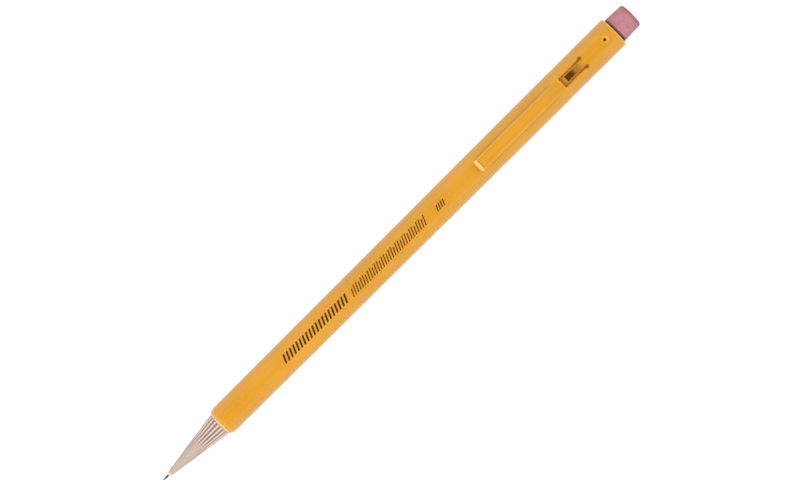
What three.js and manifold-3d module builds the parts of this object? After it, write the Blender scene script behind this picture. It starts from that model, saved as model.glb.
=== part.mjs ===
// A slim twist pencil with a cushioned tip, lying on a table with its pocket clip up.
//
// Turning the ribbed nose turns a slotted tube inside the barrel. Two lugs on the lead carriage reach
// through the slots into a helical groove in the sleeve round them, so each turn moves the carriage, and
// the lead held in it, by one pitch of the groove. Nose, sleeve and lead can sink a little into the
// barrel against a spring, which cushions the lead.
//
// Millimetres, +Z up. Stations (x) run from the point of the lead, 0, to the end of the eraser, and radii
// are from the pencil's axis. The whole assembly is then moved to stand centred on the origin.

import * as THREE from "three";
import { mergeVertices } from "three/addons/utils/BufferGeometryUtils.js";
import Module from "manifold-3d";

const wasm = await Module();
wasm.setup();

// ---------------------------------------------------------------- driving dimensions

const TOTAL_LENGTH = 150;
const BARREL_SIDES = 32;
const INNER_SIDES = 24;
const SMALL_SIDES = 12;

// How far a cutter reaches past the material that it cuts.
const OVERRUN = 1;

const BARREL = {
  mouthX: 18,
  lip: [[18.5, 3.28], [19.1, 3.52]],
  lipEndX: 19.7,
  widestX: 126.7,
  collarX: 127.7,
  endX: 144.4,
  mouthRadius: 3.04,
  frontRadius: 3.63,
  widestRadius: 3.975,
  collarRadius: 3.89,
  endRadius: 3.96,
  rimRadius: 3.76,
  edge: 0.3,
  boreRadius: 3.05,
  throatRadius: 2.98,
};
const SNAP_BEAD = { startX: 21.6, endX: 23, radius: 2.75 };
const BULKHEAD = { startX: 113, endX: 114.2, radius: 1, keyhole: 2.4 };
const ERASER_POCKET = { startX: 136, radius: 3.35, flareX: 143.6, flareRadius: 3.46 };

// The moulded well behind the clip's root: a floor, a window into the bore and a ramped tongue.
const WELL = { startX: 128.05, endX: 134.9, width: 2.95, floorRadius: 3.35 };
const WINDOW = { startX: 129.2, endX: 131.7, width: 1.4 };
const TONGUE = { startX: 132, crestX: 133.6, width: 1.5 };

// The stake that holds the eraser: a dimple outside and a boss inside, whose root sinks into the wall.
const STAKE = { x: 141.7, dimpleRadius: 0.38, dimpleDepth: 0.4, bossRadius: 0.45, bossTip: 3.05 };
const STAKE_FIT = { bossSink: 0.1, gap: 0.25 };

const CLIP = {
  freeX: 100.8,
  lipX: 101.4,
  waistX: 102.5,
  neckX: 103.5,
  shoulderX: 105,
  archX: 121,
  footStartX: 124.6,
  footEndX: 127.4,
  width: 3.4,
  gap: 0.7,
  top: 1.65,
  lipTop: 1.65,
  waistTop: 1.3,
  heelTop: 0.4,
  gripControl: -0.46,
  restGap: 0.12,
  curveSteps: 5,
};

const ERASER = { startX: 136.3, rimX: 144.4, frontRadius: 3.2, endRadius: 3.05, edge: 0.5, edgeSteps: 3 };

const NOSE = {
  tipX: 1.8,
  shoulderX: 18,
  skirtEndX: 19.6,
  journalX: 19.9,
  journalEndX: 29.6,
  spigotEndX: 32.5,
  tipRadius: 0.46,
  shoulderRadius: 2.85,
  journalRadius: 2.3,
  spigotRadius: 1.5,
  leadBore: 0.34,
  bore: 1.1,
};
const RIBS = { count: 18, startX: 8.5, halfX: 10.5, fullX: 12.5, endX: 17.3, depth: 0.24 };
const SNAP_GROOVE = { startX: 25.2, endX: 26.6, radius: 1.9 };
const DRAG_GROOVE = { startX: 27.4, endX: 28.9, radius: 1.75 };
const DRAG_RING = { sideGap: 0.15, seatGap: 0.05, wallGap: 0.07, bevel: 0.2 };
const RETAINER = { funnelX: 9.6, startX: 10, endX: 12.4, radius: 0.95, clearance: 0.1 };

const LEAD = { length: 81, radius: 0.28, pointRadius: 0.13, pointLength: 1.2 };
const SOCKET = { startX: 76, floorX: 82, shoulderX: 88.5, endX: 92.5, radius: 0.95, bore: 0.34, tail: 0.6 };

const DRIVE_TUBE = { startX: 29.9, endX: 99.5, radius: 2, bore: 1.6, slotStartX: 33.2, slotWidth: 1.15 };
const TUBE_CAP = { plugX: 97.8, flangeX: 99.7, endX: 100.8, plugRadius: 1.5 };
const CARRIAGE = { lugX: 90, front: 1.2, back: 3.5, radius: 1.35, bore: 0.75 };
const LUG = { length: 1, width: 0.8, tip: 2.45 };

const PITCH = 4;
const SLEEVE = { startX: 23.6, endX: 103, radius: 2.9, bore: 2.15, socketEndX: 30, socket: 2.42 };
const SLEEVE_BEAD = { startX: 25.5, endX: 26.3, radius: 2.05 };
const GROOVE = { startX: 33.4, endX: 97.4, width: 1.7, radius: 2.62, cutFrom: 1.85, stepsPerTurn: 16 };
const END_CAP = { plugX: 101.1, flangeX: 103.2, flangeEndX: 104.4, stemEndX: 117.5, plugRadius: 2, stem: 2 };
const SPRING = { startX: 104.75, endX: 112.65, turns: 5.5, coilRadius: 2.1, wireRadius: 0.22 };
const SPRING_STEPS = { perTurn: 16, roundWire: 6 };

// ---------------------------------------------------------------- materials

function material(color, roughness, metalness = 0) {
  return new THREE.MeshStandardMaterial({ color, roughness, metalness });
}

const barrelPlastic = () => material(0xeca634, 0.35);
const nosePlastic = () => material(0xcdb9aa, 0.45);
const whitePlastic = () => material(0xe9e6df, 0.4);
const eraserRubber = () => material(0xc88296, 0.8);
const softRubber = () => material(0x3b3b3d, 0.7);
const graphite = () => material(0x3a3a3d, 0.5, 0.2);
const springSteel = () => material(0xb9bcc0, 0.3, 1);

// ---------------------------------------------------------------- shapes and booleans

// Turns an outline of [x, radius] points about the pencil's axis, with a flat at the top and bottom.
function turned(outline, sides) {
  const points = outline.map(([x, radius]) => new THREE.Vector2(radius, x));
  const geometry = new THREE.LatheGeometry(points, sides);
  geometry.rotateZ(-Math.PI / 2);
  geometry.rotateX(Math.PI / sides);
  return geometry;
}

// A hollow turned piece: its outline runs out along the outside and back along the bore.
function turnedRing(outline, sides) {
  return turned([...outline, outline[0]], sides);
}

// A solid turned piece: its outline's two ends are closed to the axis.
function turnedRod(outline, sides) {
  const first = outline[0];
  const last = outline.at(-1);
  return turned([[first[0], 0], ...outline, [last[0], 0]], sides);
}

function tube(startX, endX, radius, bore, sides) {
  return turnedRing([[startX, bore], [startX, radius], [endX, radius], [endX, bore]], sides);
}

// A box between two stations, centred across the pencil, from one height above the axis to another.
function block(startX, endX, width, bottom, top) {
  const geometry = new THREE.BoxGeometry(endX - startX, width, top - bottom);
  geometry.translate((startX + endX) / 2, 0, (bottom + top) / 2);
  return geometry;
}

// A side view of [x, height] drawn as a shape, made as thick as the width across the pencil.
function acrossPencil(sideView, width, curveSegments) {
  const geometry = new THREE.ExtrudeGeometry(sideView, { depth: width, bevelEnabled: false, curveSegments });
  geometry.rotateX(Math.PI / 2);
  geometry.translate(0, width / 2, 0);
  return geometry;
}

// An upright round peg whose axis stands on the pencil's top line.
function uprightPeg(x, bottomRadius, topRadius, bottom, top) {
  const geometry = new THREE.CylinderGeometry(topRadius, bottomRadius, top - bottom, SMALL_SIDES);
  geometry.rotateX(Math.PI / 2);
  geometry.translate(x, 0, (bottom + top) / 2);
  return geometry;
}

// Winds a straight bar round the pencil's axis. The bar's own x stays along the axis, its y is the radius,
// and its z is the angle turned in radians, which also carries it along by one pitch a turn.
function wound(bar, startX, pitch, radius) {
  const geometry = bar.clone();
  const position = geometry.attributes.position;
  for (let i = 0; i < position.count; i += 1) {
    const angle = position.getZ(i);
    const reach = radius + position.getY(i);
    const x = startX + position.getX(i) + (pitch * angle) / (2 * Math.PI);
    position.setXYZ(i, x, reach * Math.cos(angle), reach * Math.sin(angle));
  }
  return geometry;
}

function toSolid(geometry) {
  const bare = geometry.clone();
  bare.deleteAttribute("normal");
  bare.deleteAttribute("uv");
  const merged = mergeVertices(bare);
  const corners = merged.index.array;
  const triangles = [];
  for (let i = 0; i < corners.length; i += 3) {
    const [a, b, c] = corners.slice(i, i + 3);
    if (a !== b && b !== c && c !== a) {
      triangles.push(a, b, c);
    }
  }
  const vertProperties = new Float32Array(merged.attributes.position.array);
  const triVerts = new Uint32Array(triangles);
  return new wasm.Manifold(new wasm.Mesh({ numProp: 3, vertProperties, triVerts }));
}

function toGeometry(solid) {
  const mesh = solid.getMesh();
  const geometry = new THREE.BufferGeometry();
  geometry.setAttribute("position", new THREE.BufferAttribute(mesh.vertProperties, 3));
  geometry.setIndex(new THREE.BufferAttribute(mesh.triVerts, 1));
  geometry.computeVertexNormals();
  return geometry;
}

function cut(geometry, ...cutters) {
  const solid = cutters.reduce((rest, cutter) => rest.subtract(toSolid(cutter)), toSolid(geometry));
  return toGeometry(solid);
}

function join(geometry, ...others) {
  const solid = others.reduce((sum, other) => sum.add(toSolid(other)), toSolid(geometry));
  return toGeometry(solid);
}

function piece(name, geometry, ownMaterial) {
  const mesh = new THREE.Mesh(geometry, ownMaterial);
  mesh.name = name;
  return mesh;
}

// ---------------------------------------------------------------- barrel, clip and eraser

function barrelTube() {
  const b = BARREL;
  const outline = [
    [b.mouthX, b.throatRadius],
    [b.mouthX, b.mouthRadius],
    ...b.lip,
    [b.lipEndX, b.frontRadius],
    [b.widestX, b.widestRadius],
    [b.collarX, b.collarRadius],
    [b.endX - b.edge, b.endRadius],
    [b.endX, b.rimRadius],
    [b.endX, ERASER_POCKET.flareRadius],
    [ERASER_POCKET.flareX, ERASER_POCKET.radius],
    [ERASER_POCKET.startX, ERASER_POCKET.radius],
    [ERASER_POCKET.startX, b.boreRadius],
    [BULKHEAD.endX, b.boreRadius],
    [BULKHEAD.endX, BULKHEAD.radius],
    [BULKHEAD.startX, BULKHEAD.radius],
    [BULKHEAD.startX, b.boreRadius],
    [SNAP_BEAD.endX, b.boreRadius],
    [SNAP_BEAD.endX, SNAP_BEAD.radius],
    [SNAP_BEAD.startX, SNAP_BEAD.radius],
    [SNAP_BEAD.startX - b.edge, b.throatRadius],
  ];
  return turnedRing(outline, BARREL_SIDES);
}

function wellCutter() {
  const above = BARREL.widestRadius + OVERRUN;
  const pocket = block(WELL.startX, WELL.endX, WELL.width, WELL.floorRadius, above);
  const ramp = new THREE.Shape();
  ramp.moveTo(TONGUE.startX, WELL.floorRadius - OVERRUN);
  ramp.lineTo(WELL.endX + OVERRUN, WELL.floorRadius - OVERRUN);
  ramp.lineTo(WELL.endX + OVERRUN, BARREL.collarRadius);
  ramp.lineTo(TONGUE.crestX, BARREL.collarRadius);
  ramp.lineTo(TONGUE.startX, WELL.floorRadius);
  return cut(pocket, acrossPencil(ramp, TONGUE.width, 1));
}

function barrelGeometry() {
  const above = BARREL.widestRadius + OVERRUN;
  const window = block(WINDOW.startX, WINDOW.endX, WINDOW.width, BARREL.boreRadius - OVERRUN, above);
  const key = BULKHEAD.keyhole / 2;
  const keyholeStart = BULKHEAD.startX - OVERRUN;
  const keyhole = block(keyholeStart, BULKHEAD.endX + OVERRUN, BULKHEAD.keyhole, -key, key);
  const dimpleFloor = BARREL.endRadius - STAKE.dimpleDepth;
  const dimple = uprightPeg(STAKE.x, STAKE.dimpleRadius / 2, STAKE.dimpleRadius, dimpleFloor, BARREL.endRadius);
  const bossRoot = ERASER_POCKET.radius + STAKE_FIT.bossSink;
  const boss = uprightPeg(STAKE.x, STAKE.bossRadius, STAKE.bossRadius, STAKE.bossTip, bossRoot);
  return join(cut(barrelTube(), wellCutter(), window, keyhole, dimple), boss);
}

// The clip's side view: a foot on the barrel, a flat arch, a bump that grips and a turned-up lip.
function clipGeometry() {
  const c = CLIP;
  const surface = BARREL.widestRadius;
  const side = new THREE.Shape();
  side.moveTo(c.footEndX, surface + c.restGap);
  side.lineTo(c.footEndX, surface + c.heelTop);
  side.quadraticCurveTo(c.footStartX, surface + c.top, c.archX, surface + c.top);
  side.lineTo(c.shoulderX, surface + c.top);
  side.quadraticCurveTo(c.neckX, surface + c.waistTop, c.waistX, surface + c.waistTop);
  side.lineTo(c.lipX, surface + c.lipTop);
  side.quadraticCurveTo(c.freeX, surface + c.lipTop, c.freeX, surface + c.waistTop);
  side.lineTo(c.freeX, surface + c.gap);
  side.quadraticCurveTo(c.waistX, surface + c.gripControl, c.shoulderX, surface + c.gap);
  side.lineTo(c.footStartX - c.gap, surface + c.gap);
  side.quadraticCurveTo(c.footStartX, surface + c.gap, c.footStartX, surface + c.restGap);
  return acrossPencil(side, c.width, c.curveSteps);
}

// The eraser's plug, with its end rounded off by a quarter of a circle.
function eraserGeometry() {
  const e = ERASER;
  const roundedEnd = [];
  for (let step = 0; step <= e.edgeSteps; step += 1) {
    const angle = (step / e.edgeSteps) * (Math.PI / 2);
    const x = TOTAL_LENGTH - e.edge * (1 - Math.sin(angle));
    const radius = e.endRadius - e.edge * (1 - Math.cos(angle));
    roundedEnd.push([x, radius]);
  }
  const plug = turnedRod([[e.startX, e.frontRadius], [e.rimX, e.frontRadius], ...roundedEnd], BARREL_SIDES);
  const pitRadius = STAKE.bossRadius + STAKE_FIT.gap;
  const pit = uprightPeg(STAKE.x, pitRadius, pitRadius, STAKE.bossTip - STAKE_FIT.gap, BARREL.endRadius);
  return cut(plug, pit);
}

// ---------------------------------------------------------------- nose, which turns

// How deep the valleys between the ribs are at a station: none at the tip, fading in, full at the back.
function valleyDepth(x) {
  if (x > RIBS.endX) {
    return 0;
  }
  return RIBS.depth * THREE.MathUtils.smoothstep(x, RIBS.startX, RIBS.fullX);
}

function coneRadius(x) {
  const share = (x - NOSE.tipX) / (NOSE.shoulderX - NOSE.tipX);
  return THREE.MathUtils.lerp(NOSE.tipRadius, NOSE.shoulderRadius, share);
}

// Draws every second line of points along the cone in towards the axis, which leaves the ribs standing.
function carveRibs(geometry) {
  const position = geometry.attributes.position;
  const step = Math.PI / RIBS.count;
  for (let i = 0; i < position.count; i += 1) {
    const x = position.getX(i);
    const radius = Math.hypot(position.getY(i), position.getZ(i));
    const line = Math.round(Math.atan2(position.getY(i), position.getZ(i)) / step - 0.5);
    const onCone = x > RIBS.startX && x <= NOSE.shoulderX && radius > coneRadius(x) - RIBS.depth / 2;
    if (onCone && line % 2 !== 0) {
      const scale = (radius - valleyDepth(x)) / radius;
      position.setY(i, position.getY(i) * scale);
      position.setZ(i, position.getZ(i) * scale);
    }
  }
  return geometry;
}

function noseGeometry() {
  const n = NOSE;
  const ribStations = [n.tipX, RIBS.startX, RIBS.halfX, RIBS.fullX, RIBS.endX, n.shoulderX];
  const outline = [
    ...ribStations.map((x) => [x, coneRadius(x)]),
    [n.skirtEndX, n.shoulderRadius],
    [n.journalX, n.journalRadius],
    [SNAP_GROOVE.startX, n.journalRadius],
    [SNAP_GROOVE.startX, SNAP_GROOVE.radius],
    [SNAP_GROOVE.endX, SNAP_GROOVE.radius],
    [SNAP_GROOVE.endX, n.journalRadius],
    [DRAG_GROOVE.startX, n.journalRadius],
    [DRAG_GROOVE.startX, DRAG_GROOVE.radius],
    [DRAG_GROOVE.endX, DRAG_GROOVE.radius],
    [DRAG_GROOVE.endX, n.journalRadius],
    [n.journalEndX, n.journalRadius],
    [n.journalEndX, n.spigotRadius],
    [n.spigotEndX, n.spigotRadius],
    [n.spigotEndX, n.bore],
    [RETAINER.endX, n.bore],
    [RETAINER.endX, RETAINER.radius],
    [RETAINER.startX, RETAINER.radius],
    [RETAINER.funnelX, n.leadBore],
    [n.tipX, n.leadBore],
  ];
  return carveRibs(turnedRing(outline, 2 * RIBS.count));
}

function retainerGeometry() {
  const gap = RETAINER.clearance;
  return tube(RETAINER.startX + gap, RETAINER.endX - gap, RETAINER.radius - gap, SOCKET.bore, SMALL_SIDES);
}

function dragRingGeometry() {
  const { sideGap, seatGap, wallGap, bevel } = DRAG_RING;
  const startX = DRAG_GROOVE.startX + sideGap;
  const endX = DRAG_GROOVE.endX - sideGap;
  const inner = DRAG_GROOVE.radius + seatGap;
  const outer = SLEEVE.socket - wallGap;
  return turnedRing([
    [startX, inner],
    [startX, outer - bevel],
    [startX + bevel, outer],
    [endX - bevel, outer],
    [endX, outer - bevel],
    [endX, inner],
  ], INNER_SIDES);
}

function driveTubeGeometry() {
  const d = DRIVE_TUBE;
  const above = d.radius + OVERRUN;
  const slot = block(d.slotStartX, d.endX + OVERRUN, d.slotWidth, -above, above);
  return cut(tube(d.startX, d.endX, d.radius, d.bore, INNER_SIDES), slot);
}

function tubeCapGeometry() {
  const t = TUBE_CAP;
  return turnedRod([
    [t.plugX, t.plugRadius],
    [t.flangeX, t.plugRadius],
    [t.flangeX, DRIVE_TUBE.radius],
    [t.endX, DRIVE_TUBE.radius],
  ], INNER_SIDES);
}

// ---------------------------------------------------------------- lead carriage, which travels

function leadGeometry() {
  return turnedRod([
    [0, LEAD.pointRadius],
    [LEAD.pointLength, LEAD.radius],
    [LEAD.length, LEAD.radius],
  ], SMALL_SIDES);
}

// A small tube closed at the back: the lead stands in its bore and its tail is held by the carriage.
function leadSocketGeometry() {
  const s = SOCKET;
  return turned([
    [s.floorX, 0],
    [s.floorX, s.bore],
    [s.startX, s.bore],
    [s.startX, s.radius],
    [s.shoulderX, s.radius],
    [s.shoulderX, s.tail],
    [s.endX, s.tail],
    [s.endX, 0],
  ], SMALL_SIDES);
}

// The carriage and its two lugs, half a pitch apart on opposite sides, so that both fit the one groove.
function carriageGeometry() {
  const c = CARRIAGE;
  const body = tube(c.lugX - c.front, c.lugX + c.back, c.radius, c.bore, INNER_SIDES);
  const half = LUG.length / 2;
  const rootRadius = (c.radius + c.bore) / 2;
  const upperLug = block(c.lugX - half, c.lugX + half, LUG.width, rootRadius, LUG.tip);
  const otherX = c.lugX + PITCH / 2;
  const lowerLug = block(otherX - half, otherX + half, LUG.width, -LUG.tip, -rootRadius);
  return join(body, upperLug, lowerLug);
}

// ---------------------------------------------------------------- sleeve and cushion

function sleeveTube() {
  const s = SLEEVE;
  return turnedRing([
    [s.startX, s.socket],
    [s.startX, s.radius],
    [s.endX, s.radius],
    [s.endX, s.bore],
    [s.socketEndX, s.bore],
    [s.socketEndX, s.socket],
    [SLEEVE_BEAD.endX, s.socket],
    [SLEEVE_BEAD.endX, SLEEVE_BEAD.radius],
    [SLEEVE_BEAD.startX, SLEEVE_BEAD.radius],
    [SLEEVE_BEAD.startX, s.socket],
  ], INNER_SIDES);
}

// The groove passes the upper lug's place, straight above the axis, at the lug's station.
function grooveCutter() {
  const g = GROOVE;
  const lugAngle = Math.PI / 2;
  const startX = CARRIAGE.lugX - (PITCH * lugAngle) / (2 * Math.PI);
  const firstAngle = ((g.startX - startX) / PITCH) * 2 * Math.PI;
  const lastAngle = ((g.endX - startX) / PITCH) * 2 * Math.PI;
  const steps = Math.round(((lastAngle - firstAngle) / (2 * Math.PI)) * g.stepsPerTurn);
  const depth = g.radius - g.cutFrom;
  const bar = new THREE.BoxGeometry(g.width, depth, lastAngle - firstAngle, 1, 1, steps);
  bar.translate(0, 0, (firstAngle + lastAngle) / 2);
  return wound(bar, startX, PITCH, (g.radius + g.cutFrom) / 2);
}

function endCapGeometry() {
  const e = END_CAP;
  const cap = turnedRod([
    [e.plugX, e.plugRadius],
    [e.flangeX, e.plugRadius],
    [e.flangeX, SLEEVE.radius],
    [e.flangeEndX, SLEEVE.radius],
  ], INNER_SIDES);
  return join(cap, block(e.flangeX, e.stemEndX, e.stem, -e.stem / 2, e.stem / 2));
}

function springGeometry() {
  const s = SPRING;
  const turn = 2 * Math.PI * s.turns;
  const { perTurn, roundWire } = SPRING_STEPS;
  const wire = new THREE.CylinderGeometry(s.wireRadius, s.wireRadius, turn, roundWire, s.turns * perTurn);
  wire.rotateX(Math.PI / 2);
  wire.translate(0, 0, turn / 2);
  return wound(wire, s.startX, (s.endX - s.startX) / s.turns, s.coilRadius);
}

// ---------------------------------------------------------------- assembly, one group inside another

const leadCarriage = new THREE.Group();
leadCarriage.add(
  piece("lead", leadGeometry(), graphite()),
  piece("lead_socket", leadSocketGeometry(), whitePlastic()),
  piece("carriage", carriageGeometry(), whitePlastic()),
);

const turningNose = new THREE.Group();
turningNose.add(
  piece("nose_cone", noseGeometry(), nosePlastic()),
  piece("lead_retainer", retainerGeometry(), softRubber()),
  piece("drag_ring", dragRingGeometry(), softRubber()),
  piece("drive_tube", driveTubeGeometry(), nosePlastic()),
  piece("drive_tube_cap", tubeCapGeometry(), nosePlastic()),
  leadCarriage,
);

const cushionedUnit = new THREE.Group();
cushionedUnit.add(
  piece("spiral_sleeve", cut(sleeveTube(), grooveCutter()), whitePlastic()),
  piece("sleeve_end_cap", endCapGeometry(), whitePlastic()),
  turningNose,
);

const pencil = new THREE.Group();
pencil.add(
  piece("barrel", barrelGeometry(), barrelPlastic()),
  piece("pocket_clip", clipGeometry(), barrelPlastic()),
  piece("eraser", eraserGeometry(), eraserRubber()),
  piece("cushion_spring", springGeometry(), springSteel()),
  cushionedUnit,
);
const axisHeight = BARREL.widestRadius * Math.cos(Math.PI / BARREL_SIDES);
pencil.position.set(-TOTAL_LENGTH / 2, 0, axisHeight);

export default pencil;
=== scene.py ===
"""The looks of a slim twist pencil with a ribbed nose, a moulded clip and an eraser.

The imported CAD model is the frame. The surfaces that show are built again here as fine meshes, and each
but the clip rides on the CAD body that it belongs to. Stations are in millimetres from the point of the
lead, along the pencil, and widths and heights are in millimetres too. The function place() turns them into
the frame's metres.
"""

import math

import bmesh
import bpy
import numpy as np
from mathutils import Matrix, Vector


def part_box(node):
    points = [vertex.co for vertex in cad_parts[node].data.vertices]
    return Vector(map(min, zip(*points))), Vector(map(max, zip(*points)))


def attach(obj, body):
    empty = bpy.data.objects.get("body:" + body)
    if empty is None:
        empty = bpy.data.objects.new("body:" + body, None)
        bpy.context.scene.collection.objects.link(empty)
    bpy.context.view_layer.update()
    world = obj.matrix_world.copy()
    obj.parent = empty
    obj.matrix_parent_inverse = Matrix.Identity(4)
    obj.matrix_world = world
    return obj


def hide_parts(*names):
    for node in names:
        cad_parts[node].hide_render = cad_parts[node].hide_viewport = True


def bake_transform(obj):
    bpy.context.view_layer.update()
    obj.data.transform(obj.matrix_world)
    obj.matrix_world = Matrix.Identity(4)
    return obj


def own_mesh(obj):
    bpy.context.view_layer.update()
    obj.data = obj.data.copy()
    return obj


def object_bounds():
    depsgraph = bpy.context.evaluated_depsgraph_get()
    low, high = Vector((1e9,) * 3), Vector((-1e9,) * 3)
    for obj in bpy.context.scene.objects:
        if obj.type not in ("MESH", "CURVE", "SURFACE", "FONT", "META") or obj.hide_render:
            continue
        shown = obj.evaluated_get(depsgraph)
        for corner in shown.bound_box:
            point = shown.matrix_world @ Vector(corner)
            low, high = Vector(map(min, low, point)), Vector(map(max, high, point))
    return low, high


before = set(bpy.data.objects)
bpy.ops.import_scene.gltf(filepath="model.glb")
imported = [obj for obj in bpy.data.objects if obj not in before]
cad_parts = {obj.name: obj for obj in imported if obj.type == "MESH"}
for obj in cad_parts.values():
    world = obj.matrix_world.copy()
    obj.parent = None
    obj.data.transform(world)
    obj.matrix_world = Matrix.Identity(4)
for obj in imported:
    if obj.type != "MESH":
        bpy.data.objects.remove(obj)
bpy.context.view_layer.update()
scene = bpy.context.scene

# ---------------------------------------------------------------- driving dimensions

MM = 0.001
TIP_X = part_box("lead")[0].x
AXIS_Z = (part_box("barrel")[0].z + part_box("barrel")[1].z) / 2
TOTAL = (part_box("eraser")[1].x - TIP_X) / MM
TOP_RADIUS = (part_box("barrel")[1].z - AXIS_Z) / MM

# The barrel's grid is fine only near the top line, and along it where the well and the stake are.
COARSE_DEGREES = 3.75
FINE_DEGREES = 0.75
FINE_HALF = 30
FINE_SPACING = 0.07
FINE_MARGIN = 0.1
PLAIN_SPACING = 4.0
SAME_STATION = 0.001
SAME_ANGLE = 1e-6
SAME_POINT = 1e-8

MOUTH = 18.28
LIP = {"length": 1.35, "front": 3.05, "back": 3.65, "roundness": 1.5, "steps": 12}
SEAM = {"at": 127.5, "drop": 0.05, "half": 0.12, "lead": 0.5, "clear": 0.28, "steps": 9}
REAR = {"rise_from": 129.0, "rise_to": 138.0, "drop": 0.005, "front_spacing": 0.8, "back_spacing": 0.7}
BARREL_END = 144.5
END_ROUND = 0.28

BORE = 3.05
THROAT = {"from_mouth": 0.05, "front": 3.04, "back": 3.02}
BULKHEAD = {"start": 113.0, "end": 114.2, "hole": 1.7}
SNAP_BEAD = {"start": 21.6, "end": 23.0, "radius": 2.75, "slope": 0.3}
POCKET = {"start": 136.0, "radius": 3.35, "flare_at": 143.6, "flare": 3.5}

WELL = {"start": 127.7, "end": 134.5, "half": 1.42, "depth": 0.45, "edge": 0.05}
GUTTER = {"depth": 0.12, "front_width": 0.75, "side_width": 0.34, "soft": 0.15}
WINDOW = {"start": 129.0, "end": 130.9, "half_degrees": 12.75, "clear": 0.03}
TONGUE = {
    "low": 130.9,
    "high": 133.8,
    "half": 0.74,
    "depth": 1.5,
    "wall": 0.5,
    "curve": 1.7,
    "ramp_half": 0.8,
    "ramp_soft": 0.25,
}
SLOT_END = {"at": 134.4, "across": 1.3, "radius": 0.52, "depth": 0.7, "floor_share": 0.6}
STAKE = {"at": 141.45, "across": 0.2, "pit": 0.36, "depth": 0.44, "floor_share": 0.7, "edge_share": 1.15}
STAKE_RING = {"radius": 0.72, "height": 0.03, "width": 0.13, "reach": 0.9}

# Painted highlights and painted shade go from 0 to 1. Their distances are from the mouth, the end or the
# stake.
# Paler painted highlights on the lip, the rim, the seam's edge and the ring round the stake, strongest on
# the ring's eraser side.
BARREL_HIGHLIGHTS = {
    "lip_full": 0.1,
    "lip_end": 0.42,
    "rim_start": 0.32,
    "rim_full": 0.14,
    "seam": 0.32,
    "ring_front": 0.15,
    "ring_back": 0.85,
    "ring_from": -0.5,
    "ring_to": 0.6,
}
# Painted shade in the well, the gutter, the slots' ends, along the tongue and in the stake's pit.
RECESS_SHADE = {
    "sunk": 0.75,
    "smear": 0.6,
    "tongue_shade_ends": 0.9,
    "tongue_shade_sides": 0.2,
    "pit_full_share": 0.6,
    "pit_end_share": 1.2,
}

CLIP = {
    "free": 100.65,
    "ridge_end": 101.65,
    "groove_at": 101.85,
    "narrow_to": 102.25,
    "lip_end": 102.45,
    "shoulder": 104.6,
    "arch": 120.6,
    "foot": 123.9,
    "closed": 124.7,
    "end": 127.6,
    "half": 1.56,
    "lip_half": 1.5,
    "gap": 0.55,
    "grip": 0.14,
    "top": 1.5,
    "ridge": 0.16,
    "ridge_soft": 0.16,
    "groove": 0.16,
    "groove_half": 0.13,
    "sunk": 0.3,
    "end_sunk": 0.06,
    "corner": 0.22,
    "corner_share": 0.48,
    "thinnest": 0.05,
    "crown": 0.1,
    "flare": 0.35,
    "round": 0.5,
    "pinch": 0.55,
}
# The grip bump is placed from the free end.
CLIP_GRIP = {"start": 0.9, "end": 2.9, "soft": 0.9}
CLIP_ROOT = {"start": 123.3, "end": 126.4}
CLIP_BEND = {"fixed": 126.0, "free": 116.0}
CLIP_SPACING = {
    "round_steps": 8,
    "after_round": 0.08,
    "lip": 0.06,
    "front": 0.2,
    "arm": 0.8,
    "root": 0.12,
    "past_end": 0.05,
}
# Paler painted highlights on the clip's free-end ridge and along its top edges.
CLIP_HIGHLIGHT = {
    "full_up": 0.9,
    "ridge_up": 0.5,
    "ridge_edge": 0.1,
    "edge_up": 0.6,
    "edge": 0.22,
    "edge_at": 0.9,
    "edge_width": 0.09,
}

NOSE = {
    "tip": 1.8,
    "tip_radius": 0.57,
    "shoulder": 18.2,
    "radius": 3.0,
    "skirt_end": 19.6,
    "skirt": 2.85,
    "lead_bore": 0.34,
    "bore": 1.1,
}
NOSE_TIP = {"bore_start": 0.1, "bore_flare": 0.04, "face": 0.13, "round": 0.05}
JOURNAL = {"start": 19.9, "end": 29.6, "radius": 2.3}
SNAP_GROOVE = {"start": 25.2, "end": 26.6, "radius": 1.9}
DRAG_GROOVE = {"start": 27.4, "end": 28.9, "radius": 1.75}
SPIGOT = {"end": 32.5, "radius": 1.5}
RETAINER_SEAT = {"funnel": 9.6, "start": 10.0, "end": 12.4, "radius": 0.95}
RIBS = {"count": 18, "start": 10.8, "full": 13.6, "depth": 0.34, "steps": 12, "fullness": 0.9}
NOSE_SPACING = {"start": 0.15, "front": 0.6, "rise": 0.2, "ribs": 0.7, "end": 0.25}
# The tip's paleness is wear; the paler rib crests are partly wear and partly painted highlight.
NOSE_WEAR_AND_HIGHLIGHT = {"tip_full": 0.2, "tip_end": 0.9, "crest_falloff": 1.8}

ERASER = {
    "start": 136.3,
    "rim": 144.4,
    "shown": 144.3,
    "front": 3.25,
    "end": 3.11,
    "edge": 0.55,
    "wobble": 0.012,
    "wobble_along": 2.1,
    "wobble_lobes": 3,
    "spacing": 0.25,
    "end_rings": (2.0, 1.2, 0.4),
}
# Painted shadow of the barrel's rim at the eraser's base, and darkening towards the used end that is partly
# dirt and partly painted shade.
ERASER_DIRT_AND_SHADE = {
    "rim_full": 0.4,
    "rim_end": 0.95,
    "side": 0.12,
    "side_from": 1.6,
    "end": 0.45,
    "end_from": 0.8,
    "end_to": 0.1,
}

LEAD = {"radius": 0.28, "taper_end": 1.2, "length": 81.0}
LEAD_POINT = [(0.0, 0.06), (0.05, 0.1105), (0.3, 0.16)]

SPRING = {
    "turns": 5.5,
    "coil": 2.1,
    "wire": 0.22,
    "start": 104.75,
    "end": 112.65,
    "keep": 0.87,
    "steps_per_turn": 40,
}
SIDES = {"eraser": 96, "lead": 28, "wire": 12}

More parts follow.
